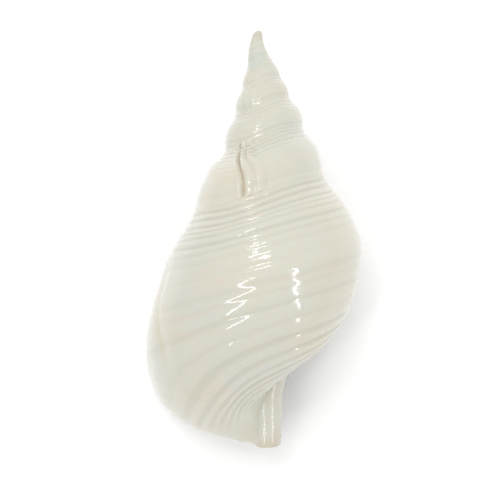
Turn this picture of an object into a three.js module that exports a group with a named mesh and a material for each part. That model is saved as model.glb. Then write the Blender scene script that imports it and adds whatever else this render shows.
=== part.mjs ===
// Triton-type conch shell, one grown piece.
// Millimetres, +Z up, +Y toward the tip of the spire. It lies with its mouth down.
import * as THREE from 'three';

// ---- driving dimensions ----
const LENGTH = 200;             // tip of the spire to the end of the canal
const GROWTH_RATE = 0.424;      // growth of size per turn, as an exponent
const TURNS = 9;                // whorls from the tip to the lip
const LIP_TURN_DOWN = 28;       // degrees the lip is wrapped past the left side
const SUTURE_DEPTH = 89.7;      // how far below the tip the last seam ends
const SPIRE_RATIO = 0.332;      // seam radius over its depth on the spire
const LAST_SEAM_RATIO = 0.415;  // the same ratio at the last seam
const SEAM_RATE = 0.358;        // growth of the seam's depth per turn, as an exponent
const SEAM_STEP = 0.055;        // the seam lies this share deeper where it crosses an old lip
const SEAM_STEP_TURN = 0.24;    // where in each turn it does, counted back from the lip
const SEAM_STEP_WIDTH = 0.10;
const WHORL_SWELL = 3.0;        // how far the whorls of the spire bulge between their seams
const CANAL_RADIUS = 6.7;
const CANAL_END_RADIUS = 6.2;
const CANAL_OPENING = 0.36;     // share of a turn left open along the canal
const CANAL_BEND = 8.2;         // sideways bend of the canal toward the lip side
const WALL = 2.4;               // shell wall, scaled with growth
const THICKENING = 1.2;         // more wall laid down over the last turn
const LIP_WALL = 4.4;           // thickened edge of the outer lip
const CALLUS = 0.8;             // glaze over the inner side of the mouth
const CAVITY_TURNS = 3.4;       // how far the hollow winds back from the mouth
const FLARE_TURNS = 0.30;       // length of the flared part behind the lip
const VARIX_STEP = 0.645;       // turns between the old thickened lips
const VARIX_HEIGHT = 0.045;     // height of an old lip, as a share of the radius
const PITCH = 11;               // degrees the canal end is lower than level
const ROLL = 7;                 // degrees it leans toward its lip
const TIP_BLUNTNESS = 1.6;      // extra radius of the worn tip

// Section of the last whorl, (radius, depth), from its seam to the root of the canal.
const WHORL = [
  [35.5, 90.5], [40.0, 99.0], [44.0, 106.5], [47.5, 116.0], [50.4, 127.0], [52.0, 137.0],
  [50.8, 148.0], [46.8, 164.0], [41.2, 175.0], [34.6, 184.6], [26.6, 194.0], [17.4, 203.5],
  [8.6, 212.0],
];
// Edge of the flared lip, in the same order, ending at the canal tip.
const LIP = [
  [37.2, 89.7], [42.5, 94.0], [48.0, 100.0], [53.5, 107.0], [58.5, 117.5], [64.0, 129.5],
  [68.6, 141.0], [71.4, 153.0], [70.8, 165.5], [66.4, 176.5], [55.0, 186.0], [39.5, 191.6],
  [20.5, 193.6], [11.5, 195.8], [6.2, 200.0],
];

// ---- mesh steps ----
const STEPS = 32;          // steps around one turn
const EDGE = 5;            // profile station where the next whorl is joined on
const ROOT = 12;           // profile station where the canal begins
const TIP = 14;            // profile station at the end of the canal
const BASE_COLUMNS = [5.75, 6.5, 7.25, 8, 8.75, 9.5, 10.25, 11, 11.5, 12, 12.75, 13.4, 14];
const COLUMNS = [0, 1, 2, 3, 4, 5, ...BASE_COLUMNS];

const LIP_ANGLE = THREE.MathUtils.degToRad(180 + LIP_TURN_DOWN);

function clamp01(x) {
  return Math.min(1, Math.max(0, x));
}

function smooth(x) {
  const k = clamp01(x);
  return k * k * (3 - 2 * k);
}

function mix(a, b, k) {
  return a + (b - a) * k;
}

// Smooth curve through a list of points, one station apart.
function spline(points, station, axis) {
  const last = points.length - 1;
  const i = Math.min(last - 1, Math.max(0, Math.floor(station)));
  const f = Math.min(1, station - i);
  const p1 = points[i][axis];
  const p2 = points[i + 1][axis];
  const p0 = i > 0 ? points[i - 1][axis] : 2 * p1 - p2;
  const p3 = i + 2 <= last ? points[i + 2][axis] : 2 * p2 - p1;
  const m1 = (p2 - p0) / 2;
  const m2 = (p3 - p1) / 2;
  const f2 = f * f;
  const f3 = f2 * f;
  return (2 * f3 - 3 * f2 + 1) * p1 + (f3 - 2 * f2 + f) * m1
    + (3 * f2 - 2 * f3) * p2 + (f3 - f2) * m2;
}

// Turns are counted from the lip: 0 at the lip, negative toward the spire.
function growth(turn) {
  return Math.exp(GROWTH_RATE * turn);
}

// The seam between two whorls, where the whorl at this turn starts.
function seam(turn) {
  const crossing = turn + SEAM_STEP_TURN;
  const away = (crossing - Math.round(crossing)) / SEAM_STEP_WIDTH;
  const depth = SUTURE_DEPTH * Math.exp(SEAM_RATE * turn + SEAM_STEP * Math.exp(-away * away));
  const ratio = mix(SPIRE_RATIO, LAST_SEAM_RATIO, smooth((depth - 70) / 18));
  return [ratio * depth + TIP_BLUNTNESS * Math.exp(-depth / 16), depth];
}

function varix(turn) {
  const steps = -turn / VARIX_STEP;
  const off = (steps - Math.round(steps)) * VARIX_STEP;
  if (steps < 0.5) {
    return 0;
  }
  return Math.exp(-((off / 0.045) ** 2));
}

// Outer wall: radius, depth below the tip and angle about the axis.
function wall(turn, station) {
  const size = growth(turn);
  let radius;
  let depth;
  if (station <= ROOT) {
    radius = size * spline(WHORL, station, 0);
    depth = size * spline(WHORL, station, 1);
    const root = smooth((station - 9) / 3);
    radius += (CANAL_RADIUS - size * WHORL[ROOT][0]) * root;
  } else {
    const along = (station - ROOT) / (TIP - ROOT);
    radius = mix(CANAL_RADIUS, CANAL_END_RADIUS, along);
    depth = mix(size * WHORL[ROOT][1], LENGTH, along);
  }
  const start = seam(turn);
  const atTop = 1 - smooth(station / EDGE);
  radius += (start[0] - size * WHORL[0][0]) * atTop;
  depth += (start[1] - size * WHORL[0][1]) * atTop;
  const joinTurn = Math.min(turn, -1);
  const joinSize = growth(joinTurn);
  const join = seam(joinTurn + 1);
  const fade = 1 - smooth((turn + 1) / 0.45);
  const rise = station <= EDGE ? smooth(station / EDGE) : 1 - smooth((station - EDGE) / 5);
  radius += (join[0] - joinSize * WHORL[EDGE][0]) * rise * fade;
  depth += (join[1] - joinSize * WHORL[EDGE][1]) * rise * fade;
  const arch = Math.sin(Math.PI * clamp01(station / EDGE));
  const onSpire = 1 - smooth((turn + 1.15) / 0.3);
  radius += WHORL_SWELL * size * arch * onSpire;
  const base = smooth((station - 3) / 2) * (1 - smooth((station - 9) / 3));
  const swell = arch + base * smooth((turn + 1.08) / 0.16);
  radius *= 1 + VARIX_HEIGHT * varix(turn) * Math.min(1, swell) * smooth((turn + 6) / 2);
  const flare = smooth((turn + FLARE_TURNS) / FLARE_TURNS) ** 2;
  if (flare > 0) {
    radius = mix(radius, spline(LIP, station, 0), flare);
    depth = mix(depth, spline(LIP, station, 1), flare);
  }
  return { radius, depth, angle: LIP_ANGLE + 2 * Math.PI * turn * winding(station), station };
}

// Angle gained per turn of growth: less toward the canal, which stays open along its belly.
function winding(station) {
  return 1 - CANAL_OPENING * smooth((station - 8) / 4.6) ** 1.3;
}

// Cylinder coordinates to the shell's own frame: axis along Y, back of the shell to +Z.
function place({ radius, depth, angle, station }) {
  const bend = smooth((depth - 149) / 33) * CANAL_BEND + Math.max(0, depth - 182) * 0.08;
  const x = radius * Math.cos(angle) - bend * smooth((station - 8) / 4);
  return new THREE.Vector3(x, -depth, radius * Math.sin(angle));
}

// ---- outer skin ----
const total = Math.round(TURNS * STEPS);
const lastTurn = total - STEPS;
const vertices = [];
const skin = new Map();

function turnAt(step) {
  return (step - total) / STEPS;
}

function outer(step, column) {
  if (COLUMNS[column] === EDGE && step + STEPS <= total) {
    return outer(step + STEPS, 0);
  }
  const key = step * 100 + column;
  if (!skin.has(key)) {
    skin.set(key, vertices.length);
    vertices.push(place(wall(turnAt(step), COLUMNS[column])));
  }
  return skin.get(key);
}

const faces = [];

function quad(a, b, c, d) {
  const cross = vertices[a].distanceToSquared(vertices[c]);
  const other = vertices[b].distanceToSquared(vertices[d]);
  if (cross < other) {
    faces.push([a, c, b], [a, d, c]);
  } else {
    faces.push([a, d, b], [b, d, c]);
  }
}

const edgeColumn = COLUMNS.indexOf(EDGE);
const tipColumn = COLUMNS.length - 1;
for (let step = 0; step < total; step += 1) {
  const columns = step < lastTurn ? edgeColumn : tipColumn;
  for (let c = 0; c < columns; c += 1) {
    quad(outer(step, c), outer(step, c + 1), outer(step + 1, c + 1), outer(step + 1, c));
  }
}

// Worn tip of the spire.
const crown = [];
for (let step = 0; step < STEPS; step += 1) {
  crown.push(outer(step, 0));
}
for (let c = edgeColumn; c > 0; c -= 1) {
  crown.push(outer(0, c));
}
const crownPoint = vertices.length;
vertices.push(new THREE.Vector3(0, -seam(turnAt(0))[1] * 0.2, 0));
crown.forEach((v, i) => {
  faces.push([crownPoint, crown[(i + 1) % crown.length], v]);
});

// ---- rim of the mouth: down the lip, round the canal end, up the inner side ----
const rim = [];
for (let c = 0; c <= tipColumn; c += 1) {
  rim.push({ part: 'lip', station: COLUMNS[c], turn: 0, vertex: outer(total, c) });
}
for (let step = total - 1; step >= lastTurn; step -= 1) {
  rim.push({ part: 'end', station: TIP, turn: turnAt(step), vertex: outer(step, tipColumn) });
}
for (let c = tipColumn - 1; c > edgeColumn; c -= 1) {
  rim.push({ part: 'inner', station: COLUMNS[c], turn: -1, vertex: outer(lastTurn, c) });
}

// A point of the hollow some turns back, moved off the walls toward the middle of the section.
function hollow(back, mark) {
  const size = growth(-back);
  const open = 1 - smooth(back / 0.3);
  const lipSide = (station) => wall(-back / winding(station), station);
  const innerSide = (station) => wall(mix(-(1 + back) / winding(station), -1, open), station);
  let at;
  let gap;
  if (mark.part === 'lip' && mark.station <= ROOT) {
    at = lipSide(mark.station);
    gap = size * WALL + THICKENING * (1 - smooth((back - 0.6) / 0.6));
    gap = mix(gap, LIP_WALL, open) + 1.2 * size * (1 - smooth(mark.station / 1.5));
  } else if (mark.part === 'inner' && mark.station <= ROOT) {
    at = innerSide(mark.station);
    gap = mix(size * WALL * 0.6, CALLUS, open);
    gap += 1.2 * size * (1 - smooth((mark.station - EDGE) / 1.5));
  } else {
    const low = lipSide(ROOT);
    const high = innerSide(ROOT);
    at = {
      radius: mix(low.radius, high.radius, mark.share),
      depth: mix(low.depth, high.depth, mark.share),
      angle: LIP_ANGLE - 2 * Math.PI * back,
      station: ROOT,
    };
    gap = size * WALL;
  }
  const toRadius = size * 35 - at.radius;
  const toDepth = size * 146 - at.depth;
  const k = Math.min(0.9, gap / Math.hypot(toRadius, toDepth));
  return place({ ...at, radius: at.radius + toRadius * k, depth: at.depth + toDepth * k });
}

// Inner edge of the rim, where the thickness of the shell shows.
function innerEdge(mark) {
  const at = wall(mark.turn, mark.station);
  const canal = smooth((mark.station - 11) / 2);
  if (mark.part === 'lip') {
    const flat = hollow(0, { ...mark, station: Math.min(mark.station, ROOT) });
    const trough = place({ ...at, radius: at.radius - 2.2, depth: at.depth - 2.4 });
    return flat.lerp(trough, canal);
  }
  if (mark.part === 'end') {
    return place({ ...at, radius: at.radius - 2.3, depth: at.depth - 0.8 });
  }
  const flat = hollow(0, { ...mark, station: Math.min(mark.station, ROOT) });
  const trough = place({ ...at, radius: at.radius - 2.2 });
  return flat.lerp(trough, smooth((mark.station - 11.2) / 1.2));
}

const canalMarks = rim.filter((mark) => mark.station > ROOT);
canalMarks.forEach((mark, i) => {
  mark.share = (i + 0.5) / canalMarks.length;
});
rim.forEach((mark) => {
  mark.inner = innerEdge(mark);
});

// ---- the hollow: rows of points from the rim back into the shell ----
const rows = [rim.map((mark) => mark.vertex)];

function addRow(points) {
  rows.push(points.map((p) => {
    vertices.push(p);
    return vertices.length - 1;
  }));
}

addRow(rim.map((mark) => {
  const edge = vertices[mark.vertex].clone().lerp(mark.inner, 0.5);
  const forward = mark.part === 'end' ? new THREE.Vector3(0, -0.7, 0)
    : new THREE.Vector3(-Math.sin(LIP_ANGLE), 0, Math.cos(LIP_ANGLE)).multiplyScalar(
      mark.part === 'lip' ? 0.9 : 0.4,
    );
  return edge.add(forward);
}));
addRow(rim.map((mark) => mark.inner));
const depths = [0.03, 0.07, 0.12, 0.17, 0.23, 0.3];
for (let d = 0.36; d < CAVITY_TURNS; d += d < 1.2 ? 0.0625 : 0.1) {
  depths.push(d);
}
depths.forEach((back) => {
  addRow(rim.map((mark) => {
    const deep = hollow(back, mark);
    const hold = smooth((mark.station - 10) / 2.5) * (1 - smooth(back / 0.3));
    return deep.lerp(mark.inner, hold);
  }));
});
for (let r = 0; r + 1 < rows.length; r += 1) {
  for (let i = 0; i < rim.length; i += 1) {
    const n = (i + 1) % rim.length;
    quad(rows[r][i], rows[r][n], rows[r + 1][n], rows[r + 1][i]);
  }
}
const lastRow = rows[rows.length - 1];
const end = new THREE.Vector3();
lastRow.forEach((v) => end.addScaledVector(vertices[v], 1 / lastRow.length));
vertices.push(end);
lastRow.forEach((v, i) => {
  faces.push([v, vertices.length - 1, lastRow[(i + 1) % lastRow.length]]);
});

// ---- lay the shell down: rests on its belly, its lip and the canal end ----
const turnDown = new THREE.Matrix4().makeRotationX(THREE.MathUtils.degToRad(PITCH));
turnDown.multiply(new THREE.Matrix4().makeRotationY(THREE.MathUtils.degToRad(ROLL)));
const box = new THREE.Box3();
vertices.forEach((v) => {
  v.applyMatrix4(turnDown);
  box.expandByPoint(v);
});
const middle = box.getCenter(new THREE.Vector3());
vertices.forEach((v) => {
  v.sub(new THREE.Vector3(middle.x, middle.y, box.min.z));
});

const geometry = new THREE.BufferGeometry();
geometry.setAttribute(
  'position',
  new THREE.Float32BufferAttribute(vertices.flatMap((v) => [v.x, v.y, v.z]), 3),
);
geometry.setIndex(faces.flat());
geometry.computeVertexNormals();

const nacre = new THREE.MeshStandardMaterial({ color: 0xe9e4d6, roughness: 0.22, metalness: 0 });
const shell = new THREE.Mesh(geometry, nacre);
shell.name = 'shell';

const group = new THREE.Group();
group.name = 'conch_shell';
group.add(shell);
export default group;
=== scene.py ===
"""Polished triton-type shell lying mouth down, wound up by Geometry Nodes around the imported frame."""
import logging
import math
from dataclasses import dataclass, field, replace
from enum import Enum
from functools import reduce
from operator import add
from typing import Any, Callable, Iterable, Optional, Union

import bpy
from mathutils import Matrix, Vector


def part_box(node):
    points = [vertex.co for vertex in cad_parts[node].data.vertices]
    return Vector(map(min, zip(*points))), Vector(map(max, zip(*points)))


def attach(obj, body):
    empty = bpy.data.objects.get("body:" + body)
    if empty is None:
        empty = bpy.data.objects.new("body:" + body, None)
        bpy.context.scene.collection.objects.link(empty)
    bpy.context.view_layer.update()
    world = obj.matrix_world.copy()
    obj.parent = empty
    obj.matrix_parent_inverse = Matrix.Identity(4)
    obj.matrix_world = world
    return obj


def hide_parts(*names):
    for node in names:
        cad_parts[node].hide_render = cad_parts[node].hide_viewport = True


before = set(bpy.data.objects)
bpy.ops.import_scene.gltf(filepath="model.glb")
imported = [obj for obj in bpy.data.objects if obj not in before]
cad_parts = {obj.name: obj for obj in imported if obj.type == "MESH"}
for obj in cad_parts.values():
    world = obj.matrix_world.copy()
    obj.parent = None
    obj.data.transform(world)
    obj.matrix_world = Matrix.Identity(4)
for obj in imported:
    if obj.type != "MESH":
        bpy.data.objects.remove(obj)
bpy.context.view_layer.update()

log = logging.getLogger("shell")

MM = 0.001
FULL_TURN = 2 * math.pi


# ---------------------------------------------------------------- sums on sockets
Operand = Union["Formula", float]


def arithmetic(operation: str,
               number_first: bool = False) -> Callable[["Formula", Operand], "Formula"]:
    """Makes an operator of Formula that adds a Math node.

    Args:
        operation: What the node does.
        number_first: Whether the formula is the second operand, as in 1 - mask.

    Returns:
        The operator's method.
    """
    def method(formula: "Formula", other: Operand) -> "Formula":
        """Adds the node."""
        operands = (other, formula) if number_first else (formula, other)
        return formula.graph.math(operation, *operands)
    return method


class Formula:
    """A node's output that can be used in ordinary Python arithmetic."""

    def __init__(self, graph: "Graph", socket: bpy.types.NodeSocket) -> None:
        """Wraps a socket."""
        self.graph = graph
        self.socket = socket

    __add__ = arithmetic("ADD")
    __radd__ = arithmetic("ADD", number_first=True)
    __sub__ = arithmetic("SUBTRACT")
    __rsub__ = arithmetic("SUBTRACT", number_first=True)
    __mul__ = arithmetic("MULTIPLY")
    __rmul__ = arithmetic("MULTIPLY", number_first=True)
    __truediv__ = arithmetic("DIVIDE")
    __rtruediv__ = arithmetic("DIVIDE", number_first=True)
    __pow__ = arithmetic("POWER")

    def __neg__(self) -> "Formula":
        """Changes the sign."""
        return self * -1.0


class Graph:
    """Adds nodes to one node tree, of a shape or of a material."""

    def __init__(self, tree: bpy.types.NodeTree) -> None:
        """Keeps the tree."""
        self.tree = tree

    def node(self, kind: str, settings: Optional[dict[str, Any]] = None,
             inputs: Optional[dict[Union[int, str], Any]] = None) -> bpy.types.Node:
        """Adds a node, sets it up and feeds it.

        Args:
            kind: The node's type.
            settings: Its properties, set first.
            inputs: Values, sockets or formulas for its inputs, by name or number.

        Returns:
            The node.
        """
        made = self.tree.nodes.new(kind)
        for key, value in (settings or {}).items():
            setattr(made, key, value)
        for key, value in (inputs or {}).items():
            source = value.socket if isinstance(value, Formula) else value
            if isinstance(source, bpy.types.NodeSocket):
                self.tree.links.new(source, made.inputs[key])
            else:
                made.inputs[key].default_value = source
        return made

    def value(self, kind: str, settings: Optional[dict[str, Any]] = None,
              inputs: Optional[dict[Union[int, str], Any]] = None,
              output: Union[int, str] = 0) -> Formula:
        """Adds a node and wraps one of its outputs."""
        return Formula(self, self.node(kind, settings, inputs).outputs[output])

    def math(self, operation: str, *operands: Operand) -> Formula:
        """Adds a Math node."""
        return self.value("ShaderNodeMath", {"operation": operation}, dict(enumerate(operands)))

    def ramp(self, value: Operand, low: float, high: float) -> Formula:
        """A smooth step from 0 at low to 1 at high."""
        return self.value("ShaderNodeMapRange", {"interpolation_type": "SMOOTHSTEP"},
                          {"Value": value, "From Min": low, "From Max": high})

    def fall(self, value: Operand, low: float, high: float) -> Formula:
        """A smooth step from 1 at low to 0 at high."""
        return 1 - self.ramp(value, low, high)

    def window(self, value: Operand, rise: tuple[float, float], fall: tuple[float, float]) -> Formula:
        """A smooth step from 0 to 1, then one back to 0."""
        return self.ramp(value, *rise) * self.fall(value, *fall)

    def hump(self, value: Formula, centre: Operand, width: Operand) -> Formula:
        """A bell that is 1 at its centre and has fallen to 0.37 a width away."""
        away = (value - centre) / width
        return self.math("EXPONENT", -(away * away))

    def blend(self, start: Operand, end: Operand, share: Operand) -> Formula:
        """Goes from start, where share is 0, to end, where it is 1."""
        return self.value("ShaderNodeMix", {"data_type": "FLOAT"}, {0: share, 2: start, 3: end})

    def tint(self, start: Any, end: Any, share: Operand) -> Formula:
        """Mixes two colours: start where share is 0, end where it is 1."""
        return self.value("ShaderNodeMix", {"data_type": "RGBA"},
                          {0: share, 6: start, 7: end}, output=2)

    def vector(self, operation: str, *operands: Any, scale: Optional[Operand] = None) -> Formula:
        """Adds a Vector Math node.

        Args:
            operation: What it does.
            *operands: Its vectors, in order.
            scale: The factor, where it scales.

        Returns:
            The resulting vector.
        """
        inputs: dict[Union[int, str], Any] = dict(enumerate(operands))
        if scale is not None:
            inputs["Scale"] = scale
        return self.value("ShaderNodeVectorMath", {"operation": operation}, inputs)

    def combine(self, x: Operand, y: Operand, z: Operand) -> Formula:
        """Makes a vector of three numbers."""
        return self.value("ShaderNodeCombineXYZ", inputs={0: x, 1: y, 2: z})

    def split(self, vector: Formula) -> tuple[Formula, Formula, Formula]:
        """Takes a vector apart into three numbers."""
        x, y, z = self.node("ShaderNodeSeparateXYZ", inputs={0: vector}).outputs
        return Formula(self, x), Formula(self, y), Formula(self, z)


def emptied(owner: Union[bpy.types.Material, bpy.types.World]) -> Graph:
    """Switches on the nodes of a material or a world and clears them.

    Args:
        owner: The material or the world.

    Returns:
        Its empty graph.
    """
    owner.use_nodes = True
    owner.node_tree.nodes.clear()
    return Graph(owner.node_tree)


class ShapeTree:
    """A Geometry Nodes tree with named inputs."""

    def __init__(self, name: str, inputs: Iterable[tuple[str, str]],
                 outputs: Iterable[tuple[str, str]]) -> None:
        """Makes an empty tree with its sockets.

        Args:
            name: The tree's name.
            inputs: Name and kind of each input, in order.
            outputs: The same of each output.
        """
        self.tree = bpy.data.node_groups.new(name, "GeometryNodeTree")
        for way, sockets in (("INPUT", inputs), ("OUTPUT", outputs)):
            for label, kind in sockets:
                self.tree.interface.new_socket(label, in_out=way, socket_type="NodeSocket" + kind)
        self.graph = Graph(self.tree)
        self.entry = self.graph.node("NodeGroupInput")

    def _input(self, name: str) -> Formula:
        """One of the tree's inputs."""
        return Formula(self.graph, self.entry.outputs[name])


# ---------------------------------------------------------------- sizes
def smooth(value: float) -> float:
    """Smooth step from 0 to 1."""
    inside = min(1.0, max(0.0, value))
    return inside * inside * (3 - 2 * inside)


def between(start: float, end: float, share: float) -> float:
    """The number a share of the way from start to end."""
    return start + (end - start) * share


@dataclass(frozen=True)
class Section:
    """An outline in radius and depth below the tip, in millimetres, one station from point to point."""

    name: str
    points: tuple[tuple[float, float], ...]

    def as_object(self) -> bpy.types.Object:
        """Puts the outline into loose vertices, with one more point before and after the ends.

        Returns:
            An object that a tree can read its points from.
        """
        first = [2 * a - b for a, b in zip(self.points[0], self.points[1])]
        last = [2 * a - b for a, b in zip(self.points[-1], self.points[-2])]
        mesh = bpy.data.meshes.new(self.name)
        mesh.from_pydata([(*p, 0.0) for p in (first, *self.points, last)], [], [])
        return bpy.data.objects.new(self.name, mesh)


@dataclass(frozen=True)
class Groove:
    """A spiral groove between two cords: its station, half width in stations and depth in millimetres."""

    station: float
    width: float
    depth: float


@dataclass(frozen=True)
class Fold:
    """A ridge or a crack of an old lip: its place and half width in turns and its height in millimetres."""

    turn: float
    width: float
    height: float


class Part(Enum):
    """Which stretch of the mouth's rim a mark belongs to."""

    LIP = "outer lip"
    END = "end of the canal"
    INNER = "inner side"


@dataclass(frozen=True)
class Growth:
    """How the shell grows, in millimetres and turns before the lip."""

    rate: float = 0.424
    turns: float = 9.0
    lip_turn_down: float = 28.0
    seam_depth: float = 89.7
    seam_rate: float = 0.358
    seam_step: float = 0.055
    seam_step_turn: float = 0.24
    seam_step_width: float = 0.10
    spire_ratio: float = 0.332
    last_ratio: float = 0.415
    tip_bluntness: float = 1.6
    tip_blunt_depth: float = 16.0
    tip_lean: float = 1.7
    tip_lean_depth: float = 9.0
    tip_lean_width: float = 8.0
    shoulder_depths: tuple[float, float] = (70.0, 88.0)
    canal_radius: float = 6.7
    canal_end_radius: float = 6.2
    canal_opening: float = 0.36
    canal_opening_power: float = 1.3
    canal_opens: tuple[float, float] = (8.0, 12.6)
    canal_from: tuple[float, float] = (9.0, 12.0)
    canal_bend: float = 8.2
    canal_bend_depths: tuple[float, float] = (149.0, 182.0)
    canal_bend_slope: float = 0.08
    length: float = 200.0
    wall: float = 2.4
    thickening: float = 1.2
    lip_wall: float = 4.4
    callus: float = 0.8
    seam_bead: float = 1.2
    seam_bead_width: float = 1.5
    rim_radius: float = 0.9
    inner_rim_share: float = 0.4
    canal_wall: float = 2.2
    canal_floor: float = 2.4
    canal_end_wall: float = 2.3
    canal_end_floor: float = 0.8
    canal_end_round: float = 0.7
    cavity_turns: float = 3.3
    hollow_radius: float = 14.0
    far_inward: float = 1000.0
    flare_turns: float = 0.30
    varix_step: float = 0.645
    varix_height: float = 0.045
    varix_width: float = 0.045
    takes_over: tuple[float, float] = (-1.08, -0.92)
    worn_from: tuple[float, float] = (-5.2, -3.8)
    whorl_swell: float = 3.0
    pitch: float = 11.0
    roll: float = 7.0
    edge: int = 5
    root: int = 12
    end: int = 14
    middle: tuple[float, float] = (35.0, 146.0)
    whorl: Section = Section("whorl_section", (
        (35.5, 90.5), (40.0, 99.0), (44.0, 106.5), (47.5, 116.0), (50.4, 127.0), (52.0, 137.0),
        (50.8, 148.0), (46.8, 164.0), (41.2, 175.0), (34.6, 184.6), (26.6, 194.0), (17.4, 203.5),
        (8.6, 212.0)))
    lip: Section = Section("lip_edge", (
        (37.2, 89.7), (42.5, 94.0), (48.0, 100.0), (53.5, 107.0), (58.5, 117.5), (64.0, 129.5),
        (68.6, 141.0), (71.4, 153.0), (70.8, 165.5), (66.4, 176.5), (55.0, 186.0), (39.5, 191.6),
        (20.5, 193.6), (11.5, 195.8), (6.2, 200.0)))

    @property
    def lip_angle(self) -> float:
        """Angle of the lip about the axis, in radians."""
        return math.radians(180 + self.lip_turn_down)

    def winding(self, station: float) -> float:
        """Share of a full turn gained per turn of growth: less toward the canal, which stays open."""
        start, end = self.canal_opens
        opened = smooth((station - start) / (end - start)) ** self.canal_opening_power
        return 1 - self.canal_opening * opened

    def bead(self, stations: float, size: float = 1.0) -> float:
        """Extra thickness of the wall some stations from a seam, where the whorl has this size."""
        return self.seam_bead * size * (1 - smooth(stations / self.seam_bead_width))


@dataclass(frozen=True)
class Relief:
    """Cords, grooves and old lips on the outer wall, in millimetres at the last whorl."""

    grooves: tuple[Groove, ...] = (
        Groove(0.36, 0.08, 0.50), Groove(0.78, 0.10, 0.62), Groove(1.30, 0.09, 0.50),
        Groove(1.72, 0.07, 0.34),
        Groove(2.10, 0.08, 0.34), Groove(2.62, 0.10, 0.55), Groove(3.05, 0.09, 0.30),
        Groove(3.50, 0.14, 0.18), Groove(4.30, 0.18, 0.12), Groove(5.25, 0.20, 0.26),
        Groove(5.75, 0.12, 0.16), Groove(6.28, 0.08, 0.34), Groove(6.80, 0.10, 0.24),
        Groove(7.45, 0.14, 0.62), Groove(8.12, 0.12, 0.72), Groove(8.68, 0.11, 0.62),
        Groove(9.15, 0.10, 0.62), Groove(9.60, 0.10, 0.60), Groove(10.05, 0.10, 0.55),
        Groove(10.50, 0.10, 0.40))
    folds: tuple[Fold, ...] = (
        Fold(0.0, 0.0038, -1.8), Fold(0.010, 0.006, 0.55), Fold(-0.0125, 0.0075, 1.00),
        Fold(-0.0240, 0.0030, -0.80), Fold(-0.0345, 0.0075, 0.90), Fold(-0.0510, 0.0050, -0.80))
    fold_turn: float = -1.268
    fold_lean: float = 0.055
    fold_above: float = 1.2
    older_fold: float = 0.45
    older_spread: float = 1.6
    crack_width: float = 0.004
    waviness: float = 0.16
    seam_fill: float = 0.9
    lower_seam_fill: float = 1.42
    spire_spread: float = 0.66
    fan: float = 4.4
    drift: float = 0.05
    uneven: float = 0.45
    calm: float = 0.72
    fine_cord: float = 0.02
    fine_pitch: float = 17.0
    bulge: float = 3.0
    shrink: float = 0.35
    lip_crease_turn: float = -0.099
    lip_crease_lean: float = 0.016
    lip_crease: float = 0.8

    def crease(self, graph: Graph, turn: Formula, station: Formula, width: float,
               end: tuple[float, float]) -> Formula:
        """How much of the crease behind the lip is here, for a width in turns and an end in stations."""
        leaning = turn + self.lip_crease_lean * graph.ramp(station, 4.5, 7.0)
        return graph.hump(leaning, self.lip_crease_turn, width) * graph.window(station, (2.5, 4.0), end)


@dataclass(frozen=True)
class Mesh:
    """How finely the growth chart is divided."""

    steps: int = 112
    fine_from: int = 70
    fine_to: int = 92
    fine: int = 3
    columns: int = 16
    canal_columns: int = 7
    half_before: float = -2.6
    quarter_before: float = -4.0
    rim_rings: int = 5
    crown_rings: int = 3
    first_row: float = 0.014
    row_growth: float = 1.14
    widest_row: float = 0.075
    cap_rings: tuple[float, ...] = (0.45, 0.8, 0.97)
    cap_step: float = 0.03


# ---------------------------------------------------------------- the growth chart
@dataclass(frozen=True)
class Mark:
    """A place on the rim of the mouth: its part, turn and station, and its share along the canal."""

    part: Part
    turn: float
    station: float
    share: float = 0.0


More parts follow.
